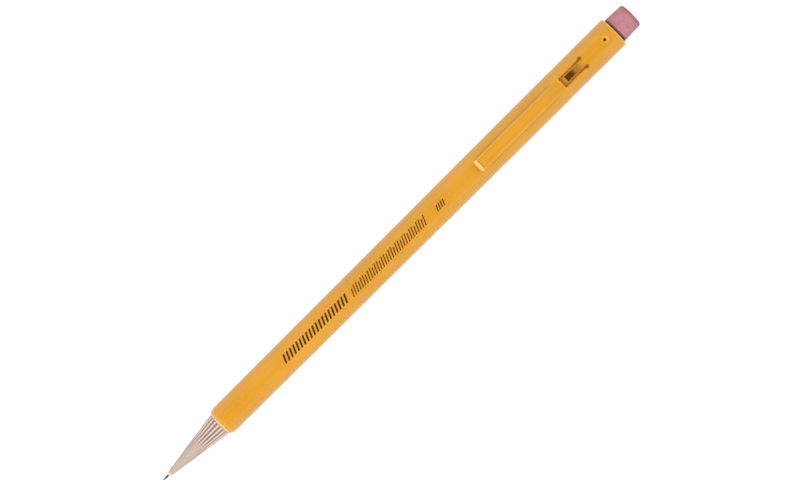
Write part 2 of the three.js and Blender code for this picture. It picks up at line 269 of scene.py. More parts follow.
INK_LIFT = 0.012
INK_SLANT = 0.42
INK_STEPS = 7
SHORT_EVERY = 3
INK_BLOCKS = [
    {"start": 38.6, "end": 59.0, "low": -1.0, "high": 1.15, "short": 1.15, "stroke": 0.5, "pitch": 1.02},
    {"start": 60.2, "end": 84.4, "low": -1.1, "high": 1.25, "short": 0.8, "stroke": 0.29, "pitch": 0.74},
    {"start": 87.3, "end": 90.6, "low": -0.8, "high": 0.75, "short": 0.65, "stroke": 0.3, "pitch": 0.66},
]

# The floor and the lights are in metres. The sky's rows are a height, from -1 to 1, and a brightness.
FLOOR_HALF = 3.0
SKY = [(-0.1, 0.45), (0.1, 1.3), (0.4, 1.3), (0.85, 0.3)]
LIGHTS = [
    {"name": "key_from_tip", "at": (-0.52, -0.08, 0.73), "size": 0.7, "watts": 7.0},
    {"name": "fill_from_end", "at": (0.45, 0.05, 0.8), "size": 0.5, "watts": 2.0},
]
CAMERA = {"x": 1.7, "y": 0.75, "height": 900.0, "roll_degrees": -44.87, "lens": 178.4, "sensor": 36.0}

# ---------------------------------------------------------------- mesh helpers


def ease(value, low, high):
    """0 below low, 1 above high, and a smooth rise between them."""
    t = np.clip((np.asarray(value, float) - low) / (high - low), 0.0, 1.0)
    return t * t * (3 - 2 * t)


def between(value, low, high, soft):
    """1 from low to high and 0 outside, with soft edges of that half width."""
    return ease(value, low - soft, low + soft) * (1 - ease(value, high - soft, high + soft))


def place(station, across, up):
    """Points in the frame from stations, distances across the pencil and heights above its axis."""
    x, y, z = np.broadcast_arrays(np.asarray(station, float), across, up)
    return np.stack([TIP_X + x * MM, y * MM, AXIS_Z + z * MM], axis=-1)


def round_ring(station, radius, angles):
    """A ring about the axis. Angle 0 is the top line, and radius may be one number or one for each angle."""
    return place(station, radius * np.sin(angles), radius * np.cos(angles))


def skin(rings, along_closed=False):
    """Vertices and faces over rings with the same number of points, capped unless the stack is a loop."""
    rows, columns = len(rings), len(rings[0])
    points = np.concatenate(rings)
    faces = []
    for i in range(rows if along_closed else rows - 1):
        below = i * columns
        above = ((i + 1) % rows) * columns
        for j in range(columns):
            k = (j + 1) % columns
            faces.append((below + j, below + k, above + k, above + j))
    if not along_closed:
        faces.append(tuple(range(columns)))
        faces.append(tuple(range((rows - 1) * columns, rows * columns)))
    return points, faces


def make_piece(name, points, faces, material, slot, sharp_degrees=40, **marks):
    """A closed mesh object with outward faces, smooth except at edges sharper than the given angle.

    Marks are numbers from 0 to 1, one for each point, that the materials read: wear and painted highlights,
    dirt and painted shade, and a painted glow.
    """
    mesh = bpy.data.meshes.new(name)
    mesh.from_pydata([tuple(p) for p in points], [], faces)
    for mark, values in marks.items():
        mesh.attributes.new(mark, "FLOAT", "POINT").data.foreach_set("value", np.asarray(values, np.float32))
    work = bmesh.new()
    work.from_mesh(mesh)
    bmesh.ops.remove_doubles(work, verts=work.verts, dist=SAME_POINT)
    bmesh.ops.recalc_face_normals(work, faces=work.faces)
    work.to_mesh(mesh)
    work.free()
    mesh.shade_smooth()
    mesh.set_sharp_from_angle(angle=math.radians(sharp_degrees))
    mesh.materials.append(material)
    piece = bpy.data.objects.new(name, mesh)
    scene.collection.objects.link(piece)
    return piece


def refined(outline, longest):
    """The outline of (station, radius) points with long stretches split evenly."""
    points = [outline[0]]
    for (x0, r0), (x1, r1) in zip(outline, outline[1:]):
        parts = max(1, math.ceil(math.hypot(x1 - x0, r1 - r0) / longest))
        for part in range(1, parts + 1):
            share = part / parts
            points.append((x0 + (x1 - x0) * share, r0 + (r1 - r0) * share))
    return points


def corner_arc(centre, radius, start_degrees, end_degrees, steps=6):
    """Outline points on an arc. Degrees are from the station direction towards the radius direction."""
    turns = np.radians(np.linspace(start_degrees, end_degrees, steps + 1))
    return [(centre[0] + radius * math.cos(a), centre[1] + radius * math.sin(a)) for a in turns]


def evenly(count):
    """Angles spaced evenly round the axis."""
    return np.arange(count) * (2 * math.pi / count)


# ---------------------------------------------------------------- material helpers


def feed(tree, value, socket):
    """Links value to the socket if it is another node's output, and sets the socket to it if not."""
    if isinstance(value, bpy.types.NodeSocket):
        tree.links.new(value, socket)
    else:
        socket.default_value = value


class Nodes:
    """A material under construction: its node tree, with short ways to add and link nodes."""

    def __init__(self, name):
        self.material = bpy.data.materials.new(name)
        self.material.use_nodes = True
        self.tree = self.material.node_tree
        self.shader = self.tree.nodes["Principled BSDF"]
        self.position = self.add("ShaderNodeTexCoord").outputs["Object"]

    def add(self, kind, settings=(), **inputs):
        """A new node with some of its settings and inputs. An input is a number, a colour or an output."""
        node = self.tree.nodes.new(kind)
        for key, value in dict(settings).items():
            setattr(node, key, value)
        for key, value in inputs.items():
            feed(self.tree, value, node.inputs[key.replace("_", " ")])
        return node

    def stretched(self, scale):
        """Object coordinates, stretched by a factor for each axis."""
        return self.add("ShaderNodeMapping", Vector=self.position, Scale=scale).outputs["Vector"]

    def noise(self, scale, detail=3.0, roughness=0.5, vector=None):
        """Noise from 0 to 1 whose scale is in features a metre."""
        node = self.add(
            "ShaderNodeTexNoise",
            Vector=vector or self.position,
            Scale=scale,
            Detail=detail,
            Roughness=roughness,
        )
        return node.outputs["Fac"]

    def ranged(self, value, low, high, to_low=0.0, to_high=1.0):
        """value from low to high becomes to_low to to_high, and stays inside them."""
        node = self.add("ShaderNodeMapRange", Value=value)
        for key, number in zip(("From Min", "From Max", "To Min", "To Max"), (low, high, to_low, to_high)):
            node.inputs[key].default_value = number
        return node.outputs["Result"]

    def maths(self, operation, first, second):
        """The result of a sum or product of two outputs or numbers."""
        node = self.add("ShaderNodeMath", {"operation": operation})
        for socket, value in zip(node.inputs, (first, second)):
            feed(self.tree, value, socket)
        return node.outputs["Value"]

    def mixed(self, share, first, second):
        """The first colour at share 0 and the second at share 1."""
        node = self.add("ShaderNodeMix", {"data_type": "RGBA"})
        factor, colour_a, colour_b, colour_out = 0, 6, 7, 2
        for index, value in ((factor, share), (colour_a, first), (colour_b, second)):
            feed(self.tree, value, node.inputs[index])
        return node.outputs[colour_out]

    def mark(self, name):
        """A number that the mesh code gave each point."""
        return self.add("ShaderNodeAttribute", {"attribute_name": name}).outputs["Fac"]

    def bump(self, height, strength, depth):
        """Bumps of that depth in millimetres where height goes from 0 to 1."""
        node = self.add("ShaderNodeBump", Height=height, Strength=strength, Distance=depth * MM)
        self.tree.links.new(node.outputs["Normal"], self.shader.inputs["Normal"])

    def finish(self, colour, roughness=None, **fixed):
        """Links colour and roughness, and sets the other named inputs of the shader to plain numbers."""
        self.tree.links.new(colour, self.shader.inputs["Base Color"])
        if roughness is not None:
            self.tree.links.new(roughness, self.shader.inputs["Roughness"])
        for key, value in fixed.items():
            self.shader.inputs[key.replace("_", " ")].default_value = value
        return self.material


WHITE = (1.0, 1.0, 1.0, 1.0)


def shade(red, green, blue):
    """A colour given as it looks on a screen, 0 to 255, as the shader's linear colour."""
    linear = []
    for value in (red, green, blue):
        share = value / 255
        is_dark = share <= 0.04045
        linear.append(share / 12.92 if is_dark else ((share + 0.055) / 1.055) ** 2.4)
    return (*linear, 1.0)


# ---------------------------------------------------------------- materials


def barrel_plastic():
    """Glossy moulded plastic: slight clouding, flow streaks along the pencil and fine handling scratches.

    The marks add paler painted highlights and darker painted shade, and the bore's inside faces have a
    painted glow, a dim emission that stands in for light through the wall, which the window shows.
    """
    m = Nodes("barrel_plastic")
    cloud = m.noise(scale=90.0, detail=2.0)
    streaks = m.noise(scale=1.0, detail=3.0, vector=m.stretched((18.0, 900.0, 900.0)))
    scratches = m.noise(scale=1.0, detail=5.0, roughness=0.65, vector=m.stretched((900.0, 5200.0, 5200.0)))
    grain = m.noise(scale=14000.0, detail=2.0)
    patchy = m.noise(scale=2600.0, detail=3.0, roughness=0.6)
    tint = m.maths("ADD", m.maths("MULTIPLY", cloud, 0.55), m.maths("MULTIPLY", streaks, 0.45))
    colour = m.mixed(m.ranged(tint, 0.35, 0.65), shade(193, 134, 26), shade(203, 143, 35))
    wear_and_painted_highlight = m.maths("MULTIPLY", m.mark("wear_and_painted_highlight"), m.ranged(patchy, 0.3, 0.7, 0.65, 1.0))
    # Paler painted highlights where the mesh marks the barrel's edges and the clip's ridge and edges.
    colour = m.mixed(wear_and_painted_highlight, colour, shade(228, 187, 118))
    grime = m.maths("MULTIPLY", m.mark("grime"), m.ranged(patchy, 0.3, 0.7, 0.85, 1.0))
    # Painted shade: dark brown where the mesh marks the recesses, the tongue and the stake's pit.
    colour = m.mixed(grime, colour, shade(84, 42, 10))
    smudged = m.maths("MULTIPLY", scratches, m.ranged(cloud, 0.3, 0.7, 0.7, 1.2))
    height = m.maths("ADD", m.maths("MULTIPLY", grain, 0.4), m.maths("MULTIPLY", scratches, 0.6))
    m.bump(height, 0.25, depth=0.01)
    dulled = m.maths("MULTIPLY", m.mark("grime"), 0.5)
    roughness = m.maths("ADD", m.ranged(smudged, 0.25, 0.7, 0.22, 0.42), dulled)
    # Painted glow: the bore's inside faces emit a dim brown light that stands in for light through the wall.
    m.tree.links.new(m.mark("painted_glow"), m.shader.inputs["Emission Strength"])
    return m.finish(colour, roughness, IOR=1.5, Emission_Color=shade(66, 44, 20))


def eraser_rubber():
    """Soft mauve-pink rubber: mottled, with a fine tooth, a painted shadow of the barrel's rim at its base,
    and a darker used end, partly dirt and partly painted shade.
    """
    m = Nodes("eraser_rubber")
    mottle = m.noise(scale=700.0, detail=4.0, roughness=0.6)
    crumbs = m.noise(scale=6500.0, detail=3.0, roughness=0.6)
    colour = m.mixed(m.ranged(mottle, 0.35, 0.65), shade(167, 109, 117), shade(178, 119, 128))
    # Painted shadow at the rim, and darkening at the used end, partly dirt and partly painted shade.
    grime = m.maths("MULTIPLY", m.mark("grime"), m.ranged(mottle, 0.35, 0.6, 0.7, 1.0))
    colour = m.mixed(grime, colour, shade(58, 24, 14))
    m.bump(m.maths("ADD", crumbs, m.maths("MULTIPLY", mottle, 0.5)), 0.5, depth=0.03)
    return m.finish(colour, m.ranged(crumbs, 0.3, 0.7, 0.7, 0.92), Sheen_Weight=0.1)


def nose_plastic():
    """Satin tan plastic: paler on the rib crests, partly wear and partly painted highlight, and paler at the
    tip from wear; darker between the ribs, which is painted shade.
    """
    m = Nodes("nose_plastic")
    cloud = m.noise(scale=300.0, detail=3.0)
    patchy = m.noise(scale=2200.0, detail=3.0, roughness=0.6)
    grain = m.noise(scale=9000.0, detail=2.0)
    colour = m.mixed(m.ranged(cloud, 0.35, 0.65), shade(169, 150, 138), shade(179, 160, 147))
    # Paler crests: partly wear and partly painted highlight; the tip's paleness is wear.
    wear_and_painted_highlight = m.maths("MULTIPLY", m.mark("wear_and_painted_highlight"), m.ranged(patchy, 0.3, 0.7, 0.7, 1.0))
    colour = m.mixed(wear_and_painted_highlight, colour, shade(220, 199, 188))
    # Painted shade between the ribs.
    grime = m.maths("MULTIPLY", m.mark("grime"), m.ranged(patchy, 0.3, 0.7, 0.7, 1.0))
    colour = m.mixed(grime, colour, shade(112, 94, 86))
    m.bump(grain, 0.3, depth=0.01)
    uneven = m.maths("ADD", cloud, m.maths("MULTIPLY", grain, 0.3))
    return m.finish(colour, m.ranged(uneven, 0.4, 0.9, 0.34, 0.5), Specular_IOR_Level=0.25)


def graphite():
    """Dark grey lead with a soft metallic sheen and marks along it."""
    m = Nodes("lead_graphite")
    marks = m.noise(scale=1.0, detail=4.0, roughness=0.6, vector=m.stretched((600.0, 9000.0, 9000.0)))
    colour = m.mixed(m.ranged(marks, 0.3, 0.7), shade(40, 36, 40), shade(62, 58, 62))
    m.bump(marks, 0.3, depth=0.01)
    return m.finish(colour, m.ranged(marks, 0.3, 0.7, 0.38, 0.6), Metallic=0.3)


def print_ink():
    """Dark red-brown ink, printed thin: slightly uneven, and rubbed paler in places."""
    m = Nodes("print_ink")
    rubbed = m.noise(scale=2600.0, detail=4.0, roughness=0.7)
    colour = m.mixed(m.ranged(rubbed, 0.5, 0.75), shade(58, 12, 10), shade(112, 52, 24))
    m.bump(rubbed, 0.2, depth=0.01)
    return m.finish(colour, m.ranged(rubbed, 0.3, 0.7, 0.34, 0.5))


def inner_plastic():
    """Off-white moulded plastic, a little yellowed and smeared with lubricant."""
    m = Nodes("inner_plastic")
    smear = m.noise(scale=420.0, detail=3.0, roughness=0.6)
    grain = m.noise(scale=8000.0, detail=2.0)
    colour = m.mixed(m.ranged(smear, 0.35, 0.65), shade(192, 187, 175), shade(203, 200, 192))
    m.bump(grain, 0.25, depth=0.01)
    return m.finish(colour, m.ranged(smear, 0.35, 0.65, 0.28, 0.45))


def soft_rubber():
    """Dark elastic rubber with a fine bloom on it."""
    m = Nodes("soft_rubber")
    bloom = m.noise(scale=2500.0, detail=4.0, roughness=0.6)
    colour = m.mixed(m.ranged(bloom, 0.4, 0.7), shade(48, 48, 50), shade(74, 74, 77))
    m.bump(bloom, 0.3, depth=0.02)
    return m.finish(colour, m.ranged(bloom, 0.3, 0.7, 0.6, 0.8))


def spring_steel():
    """Drawn steel wire with fine lines and a trace of oil."""
    m = Nodes("spring_steel")
    lines = m.noise(scale=1.0, detail=4.0, roughness=0.6, vector=m.stretched((9000.0, 1500.0, 1500.0)))
    colour = m.mixed(m.ranged(lines, 0.3, 0.7), shade(168, 170, 174), shade(204, 206, 210))
    m.bump(lines, 0.25, depth=0.01)
    return m.finish(colour, m.ranged(lines, 0.3, 0.7, 0.2, 0.36), Metallic=1.0)


def floor_card():
    """Plain white card with a barely visible tooth, glowing a little like a light table, so shadows stay
    faint.
    """
    m = Nodes("floor_card")
    tooth = m.noise(scale=2500.0, detail=3.0)
    colour = m.mixed(tooth, shade(250, 250, 250), shade(252, 252, 252))
    m.bump(tooth, 0.05, depth=0.02)
    fixed = {"Roughness": 0.9, "Specular_IOR_Level": 0.1, "Emission_Color": WHITE, "Emission_Strength": 0.2}
    return m.finish(colour, **fixed)


MATERIALS = {
    "barrel_plastic": barrel_plastic(),
    "eraser_rubber": eraser_rubber(),
    "nose_plastic": nose_plastic(),
    "lead_graphite": graphite(),
    "inner_plastic": inner_plastic(),
    "soft_rubber": soft_rubber(),
    "spring_steel": spring_steel(),
}

# ---------------------------------------------------------------- barrel


def rear_radius(station):
    """The outside radius behind the seam, which rises a little towards the rim."""
    collar = TOP_RADIUS - SEAM["drop"]
    end = TOP_RADIUS - REAR["drop"]
    return collar + (end - collar) * float(ease(station, REAR["rise_from"], REAR["rise_to"]))


def seam_radius(station):
    """The outside radius across the fine step of the seam."""
    reach = 2 * SEAM["half"]
    return TOP_RADIUS - SEAM["drop"] * float(ease(station, SEAM["at"] - reach, SEAM["at"] + reach))


def barrel_outside():
    """The outside's outline, from the mouth to the rim, fine only where the well and the stake are."""
    lip = []
    for share in np.linspace(0, 1, LIP["steps"]):
        drop = (LIP["back"] - LIP["front"]) * (1 - share) ** LIP["roundness"]
        lip.append((MOUTH + LIP["length"] * share, LIP["back"] - drop))
    shaft = refined([lip[-1], (SEAM["at"] - SEAM["lead"], TOP_RADIUS)], PLAIN_SPACING)
    step_stations = SEAM["at"] + np.linspace(-2, 2, SEAM["steps"]) * SEAM["half"]
    step = [(x, seam_radius(x)) for x in step_stations]

    fine_from = SEAM["at"] + SEAM["clear"]
    fine_to = SLOT_END["at"] + SLOT_END["radius"] + FINE_MARGIN
    stake_from = STAKE["at"] - STAKE_RING["reach"]
    stake_to = STAKE["at"] + STAKE_RING["reach"]
    stretches = [
        (fine_from, fine_to, FINE_SPACING),
        (fine_to, stake_from, REAR["front_spacing"]),
        (stake_from, stake_to, FINE_SPACING),
        (stake_to, BARREL_END - END_ROUND, REAR["back_spacing"]),
    ]
    edges = [WINDOW["start"], WINDOW["end"]]
    stations = list(edges)
    for start, finish, spacing in stretches:
        for x in np.arange(start, finish - spacing / 2, spacing):
            if min(abs(x - edge) for edge in edges) > WINDOW["clear"]:
                stations.append(x)
    rear = [(x, rear_radius(x)) for x in sorted(stations)]
    rim_centre = (BARREL_END - END_ROUND, TOP_RADIUS - REAR["drop"] - END_ROUND)
    rim = corner_arc(rim_centre, END_ROUND, 90, 0)
    return lip + shaft[1:] + step + rear + rim


def barrel_inside(tongue_stations):
    """The bore's outline, from the rim back to the mouth.

    It has the outside's own stations below the window and the tongue.
    """
    bead = SNAP_BEAD
    return [
        (BARREL_END, POCKET["flare"]),
        (POCKET["flare_at"], POCKET["radius"]),
        (POCKET["start"], POCKET["radius"]),
        (POCKET["start"], BORE),
        *[(x, BORE) for x in reversed(tongue_stations)],
        (BULKHEAD["end"], BORE),
        (BULKHEAD["end"], BULKHEAD["hole"]),
        (BULKHEAD["start"], BULKHEAD["hole"]),
        (BULKHEAD["start"], BORE),
        (bead["end"] + bead["slope"], BORE),
        (bead["end"], bead["radius"]),
        (bead["start"], bead["radius"]),
        (bead["start"] - bead["slope"], THROAT["back"]),
        (MOUTH + THROAT["from_mouth"], THROAT["front"]),
    ]


def tongue_depth(station, across):
    """How deep the bent-in tongue lies: it starts in the bore beside the window and rises to the outside."""
    rise = np.clip((station - TONGUE["low"]) / (TONGUE["high"] - TONGUE["low"]), 0.0, 1.0)
    edge = WELL["edge"]
    inside = 1 - ease(np.abs(across), TONGUE["half"] - edge, TONGUE["half"] + edge)
    started = ease(station, TONGUE["low"] - edge, TONGUE["low"])
    return TONGUE["depth"] * (1 - rise) ** TONGUE["curve"] * inside * started


def well_depth(station, across):
    """How deep the well lies, with a gutter round its edge and a floor that rises beside the tongue."""
    edge = WELL["edge"]
    beside = np.abs(across)
    within_sides = 1 - ease(beside, WELL["half"] - edge, WELL["half"] + edge)
    well = between(station, WELL["start"], WELL["end"], edge) * within_sides
    near_tongue = 1 - ease(beside, TONGUE["ramp_half"], TONGUE["ramp_half"] + TONGUE["ramp_soft"])
    level = 1 - ease(station, TONGUE["low"], TONGUE["high"]) * near_tongue
    from_side = (WELL["half"] - beside) / GUTTER["side_width"]
    from_front = (station - WELL["start"]) / GUTTER["front_width"]
    past_gutter = ease(np.minimum(from_side, from_front), 1 - GUTTER["soft"], 1 + GUTTER["soft"])
    return well * (WELL["depth"] * level + GUTTER["depth"] * (1 - past_gutter))


def pressed_in(station, across):
    """How deep the well, the tongue, the slots' ends and the stake's dimple lie below the outside."""
    radius = SLOT_END["radius"]
    to_slot_end = np.hypot(station - SLOT_END["at"], np.abs(across) - SLOT_END["across"])
    slot_end = SLOT_END["depth"] * (1 - ease(to_slot_end, radius * SLOT_END["floor_share"], radius))
    depth = np.maximum(np.maximum(well_depth(station, across), slot_end), tongue_depth(station, across))
    to_stake = np.hypot(station - STAKE["at"], across - STAKE["across"])
    outside_pit = ease(to_stake, STAKE["pit"] * STAKE["floor_share"], STAKE["pit"] * STAKE["edge_share"])
    pit = STAKE["depth"] * (1 - outside_pit)
    ring = STAKE_RING["height"] * np.exp(-(((to_stake - STAKE_RING["radius"]) / STAKE_RING["width"]) ** 2))
    return depth + pit - ring


def recess_grime(station, across, sunk):
    """Painted shade where the surface is sunk, with a darker painted band along the tongue and a little past
    its end, and full painted shade in the stake's pit.
    """
    g = RECESS_SHADE
    # The smear here is painted shade along the tongue, not dirt.
    smear = between(station, TONGUE["low"], TONGUE["high"] - g["tongue_shade_sides"], g["tongue_shade_ends"])
    inner, outer = TONGUE["half"] - g["tongue_shade_sides"], TONGUE["half"] + g["tongue_shade_sides"]
    smear = g["smear"] * smear * (1 - ease(np.abs(across), inner, outer))
    to_stake = np.hypot(station - STAKE["at"], across - STAKE["across"])
    in_pit = 1 - ease(to_stake, STAKE["pit"] * g["pit_full_share"], STAKE["pit"] * g["pit_end_share"])
    return np.clip(np.maximum(g["sunk"] * sunk, smear) + in_pit, 0, 1)


def barrel_painted_highlights(station, sunk):
    """How much paler painted highlight the lip, the rim, the seam and the raised ring round the stake get.
    """
    w = BARREL_HIGHLIGHTS
    lip = 1 - ease(station, MOUTH + w["lip_full"], MOUTH + w["lip_end"])
    rim = ease(station, BARREL_END - w["rim_start"], BARREL_END - w["rim_full"])
    seam = w["seam"] * math.exp(-(((station - SEAM["at"]) / SEAM["half"]) ** 2))
    behind = ease(station - STAKE["at"], w["ring_from"], w["ring_to"])
    # The ring's painted highlight is stronger on its side towards the eraser, as light from the tip side
    # would make it.
    ring_highlight = w["ring_front"] + (w["ring_back"] - w["ring_front"]) * behind
    ring = np.clip(-sunk / STAKE_RING["height"], 0, 1) * ring_highlight
    return lip + rim + seam + ring


def barrel_angles():
    """Angles round the barrel, close together only near the top line."""
    fine = np.arange(-FINE_HALF, FINE_HALF + FINE_DEGREES / 2, FINE_DEGREES)
    coarse = np.arange(FINE_HALF + COARSE_DEGREES, 360 - FINE_HALF - COARSE_DEGREES / 2, COARSE_DEGREES)
    return np.radians(np.concatenate([fine, coarse]))


def cut_window(faces, angles, facing_rows):
    """The tube's faces without the window's, and with a wall round the window from outside to bore.

    For each outside ring in the window, facing_rows has the ring of the bore at the same station.
    """
    around = len(angles)
    rows = list(facing_rows)
    half = math.radians(WINDOW["half_degrees"]) + SAME_ANGLE
    columns = [j for j, angle in enumerate(angles) if abs(angle) <= half]
    open_rows = {*rows[:-1], *[facing_rows[row] for row in rows[1:]]}
    open_columns = set(columns[:-1])
    kept = []
    for index, face in enumerate(faces):
        row, column = divmod(index, around)
        if row not in open_rows or column not in open_columns:
            kept.append(face)
    edge = [(row, columns[0]) for row in rows]
    edge += [(rows[-1], column) for column in columns[1:]]
    edge += [(row, columns[-1]) for row in reversed(rows[:-1])]
    edge += [(rows[0], column) for column in reversed(columns[1:-1])]
    for (row, column), (next_row, next_column) in zip(edge, edge[1:] + edge[:1]):
        kept.append((
            row * around + column,
            next_row * around + next_column,
            facing_rows[next_row] * around + next_column,
            facing_rows[row] * around + column,
        ))
    return kept


def make_barrel():
    """One tube whose grid runs along the outside and back along the bore, with a window cut through."""
    angles = barrel_angles()
    zeros = np.zeros(len(angles))
    ones = np.ones(len(angles))
    outside = barrel_outside()
    on_top = np.abs(np.sin(angles / 2)) < math.sin(math.radians(FINE_HALF / 2))
    first = WINDOW["start"] - SAME_STATION
    shared = [i for i, (x, _) in enumerate(outside) if first <= x <= TONGUE["high"]]
    inside = barrel_inside([outside[i][0] for i in shared])
    wall_gap = TOP_RADIUS - SEAM["drop"] - BORE - TONGUE["wall"]
    rings, wear_and_painted_highlight, grime, painted_glow = [], [], [], []
    for station, radius in outside:
        across = radius * np.sin(angles)
        sunk = np.where(on_top, pressed_in(station, across), 0.0)
        rings.append(round_ring(station, radius - sunk, angles))
        wear_and_painted_highlight.append(barrel_painted_highlights(station, sunk))
        grime.append(np.where(on_top, recess_grime(station, across, sunk), 0.0))
        painted_glow.append(zeros)
    # The bore's faces are marked for the painted glow.
    for station, radius in inside:
        bent = np.maximum(tongue_depth(station, radius * np.sin(angles)) - wall_gap, 0.0)
        rings.append(round_ring(station, radius - np.where(on_top, bent, 0.0), angles))
        wear_and_painted_highlight.append(zeros)
        grime.append(zeros)
        painted_glow.append(ones)
    points, faces = skin(rings, along_closed=True)

    bore_rows = {x: len(outside) + i for i, (x, _) in enumerate(inside)}
    in_window = [i for i in shared if outside[i][0] <= WINDOW["end"] + SAME_STATION]
    faces = cut_window(faces, angles, {i: bore_rows[outside[i][0]] for i in in_window})
    plastic = MATERIALS["barrel_plastic"]
    marks = {"wear_and_painted_highlight": np.concatenate(wear_and_painted_highlight), "grime": np.concatenate(grime), "painted_glow": np.concatenate(painted_glow)}
    piece = make_piece("barrel_shell", points, faces, plastic, "barrel_plastic", sharp_degrees=50, **marks)
    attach(piece, "barrel_body")
    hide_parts("barrel")


# ---------------------------------------------------------------- clip


def clip_levels(station):
    """The clip's lowest and highest line at a station, above the barrel's top line."""
    c = CLIP
    ridge = c["ridge"] * between(station, c["free"], c["ridge_end"], c["ridge_soft"])
    groove = c["groove"] * math.exp(-(((station - c["groove_at"]) / c["groove_half"]) ** 2))
    down = ease(station, c["arch"], c["end"])
    top = (c["top"] + ridge - groove) * (1 - down) - c["end_sunk"] * down
    grip_start, grip_end = c["free"] + CLIP_GRIP["start"], c["free"] + CLIP_GRIP["end"]
    at_grip = between(station, grip_start, grip_end, CLIP_GRIP["soft"])
    bottom = c["gap"] - (c["gap"] - c["grip"]) * at_grip
    bottom = bottom + (-c["sunk"] - bottom) * ease(station, c["foot"], c["closed"])
    return float(bottom), float(top)


def clip_stations():
    """The clip's stations, fine at its rounded free end and at its root."""
    c = CLIP
    turns = np.linspace(0, math.pi / 2, CLIP_SPACING["round_steps"])
    stretches = [
        (c["free"] + c["round"] + CLIP_SPACING["after_round"], c["lip_end"], CLIP_SPACING["lip"]),
        (c["lip_end"], c["shoulder"], CLIP_SPACING["front"]),
        (c["shoulder"], c["arch"], CLIP_SPACING["arm"]),
        (c["arch"], c["end"] + CLIP_SPACING["past_end"], CLIP_SPACING["root"]),
    ]
    rounded = c["free"] + c["round"] * (1 - np.cos(turns))
    return np.concatenate([rounded] + [np.arange(*stretch) for stretch in stretches])


def rounded_box(across_share, up_share, steps=5, flat_steps=6):
    """A rounded rectangle from -1 to 1 across and 0 to 1 up, as (across, up) rows."""
    arc = np.linspace(0, math.pi / 2, steps + 1)
    quarter = [(1 - across_share * (1 - math.sin(a)), up_share * (1 - math.cos(a))) for a in arc]
    bottom = [(t * (1 - across_share), 0.0) for t in np.linspace(0, 1, flat_steps, endpoint=False)]
    top = [(t * (1 - across_share), 1.0) for t in np.linspace(1, 0, flat_steps + 1)]
    upper = [(y, 1 - v) for y, v in reversed(quarter)]
    right = bottom + quarter + upper + top[1:]
    left = [(-y, v) for y, v in reversed(right[1:-1])]
    return np.array(right + left)


def clip_ring(station):
    """One ring round the arm, and how much paler painted highlight its points get, on the ridge and along
    the top edges.
    """
    c = CLIP
    bottom, top = clip_levels(station)
    root = float(ease(station, CLIP_ROOT["start"], CLIP_ROOT["end"]))
    end_round = max(0.0, 1 - (station - c["free"]) / c["round"])
    pinch = c["pinch"] * (1 - math.sqrt(max(0.0, 1 - end_round**2)))
    in_lip = float(1 - ease(station, c["ridge_end"], c["narrow_to"]))
    half = c["half"] - (c["half"] - c["lip_half"]) * in_lip - pinch
    thickness = max((top - bottom) * (1 - pinch), c["thinnest"])
    low = (bottom + top) / 2 - (top - bottom) / 2 * (1 - pinch)

    corner = min(c["corner"], c["corner_share"] * thickness)
    side, up = rounded_box(corner / half, corner / thickness).T
    across = side * half * (1 + c["flare"] * root * (1 - up) ** 2)
    barrel_drop = np.sqrt(TOP_RADIUS**2 - across**2) - TOP_RADIUS
    arm_crown = -c["crown"] * (across / half) ** 2 * up
    drop = barrel_drop * root + arm_crown * (1 - root)
    ring = place(station, across, TOP_RADIUS + low + thickness * up + drop)

    # Painted highlights: the free end's ridge and the arm's top edges are made paler.
    w = CLIP_HIGHLIGHT
    in_ridge = ease(station, c["free"], c["free"] + c["round"])
    in_ridge = in_ridge * (1 - ease(station, c["ridge_end"] - w["ridge_edge"], c["ridge_end"]))
    on_ridge = float(in_ridge) * ease(up, w["ridge_up"], w["full_up"])
    near_edge = np.exp(-(((np.abs(side) - w["edge_at"]) / w["edge_width"]) ** 2))
    on_edge = w["edge"] * near_edge * ease(up, w["edge_up"], w["full_up"]) * (1 - root)
    return ring, np.clip(on_ridge + on_edge, 0, 1)


def make_clip():
    """A flat springy arm with rounded edges, whose root flows into the barrel."""
    rings, wear_and_painted_highlight = zip(*[clip_ring(station) for station in clip_stations()])
    points, faces = skin(rings)
    plastic = MATERIALS["barrel_plastic"]
    marks = {"wear_and_painted_highlight": np.concatenate(wear_and_painted_highlight), "grime": np.zeros(len(points))}
    piece = make_piece("clip_arm_shell", points, faces, plastic, "barrel_plastic", sharp_degrees=60, **marks)
    fixed = place(CLIP_BEND["fixed"], 0.0, TOP_RADIUS)
    free = place(CLIP_BEND["free"], 0.0, TOP_RADIUS)
    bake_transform(piece)
    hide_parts("pocket_clip")


# ---------------------------------------------------------------- eraser, nose and lead


def make_eraser():
    """A slightly uneven round plug with a rounded edge."""
    e, g = ERASER, ERASER_DIRT_AND_SHADE
    edge = corner_arc((TOTAL - e["edge"], e["end"] - e["edge"]), e["edge"], 90, 0, steps=8)
    shown = refined([(e["shown"], e["front"]), (TOTAL - e["edge"], e["end"])], e["spacing"])
    outline = [(e["start"], e["front"])] + shown[:-1] + edge
    outline += [(TOTAL, radius) for radius in e["end_rings"]]
    angles = evenly(SIDES["eraser"])
    rings, grime = [], []
    for station, radius in outline:
        along = math.sin(e["wobble_along"] * station)
        wobble = e["wobble"] * along * np.sin(e["wobble_lobes"] * angles + station)
        rings.append(round_ring(station, radius + wobble, angles))
        # Painted shadow of the rim at the eraser's base; the darkening near and on the end is partly dirt
        # and partly painted shade.
        at_rim = 1 - ease(station, e["rim"] + g["rim_full"], e["rim"] + g["rim_end"])
        on_side = g["side"] * ease(station, TOTAL - g["side_from"], TOTAL - g["end_from"])
        at_end = g["end"] * ease(station, TOTAL - g["end_from"], TOTAL - g["end_to"])
        grime.append(np.full(len(angles), float(at_rim + on_side + at_end)))
    points, faces = skin(rings)
    rubber = MATERIALS["eraser_rubber"]
    piece = make_piece("eraser_plug", points, faces, rubber, "eraser_rubber", grime=np.concatenate(grime))
    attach(piece, "barrel_body")
    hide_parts("eraser")


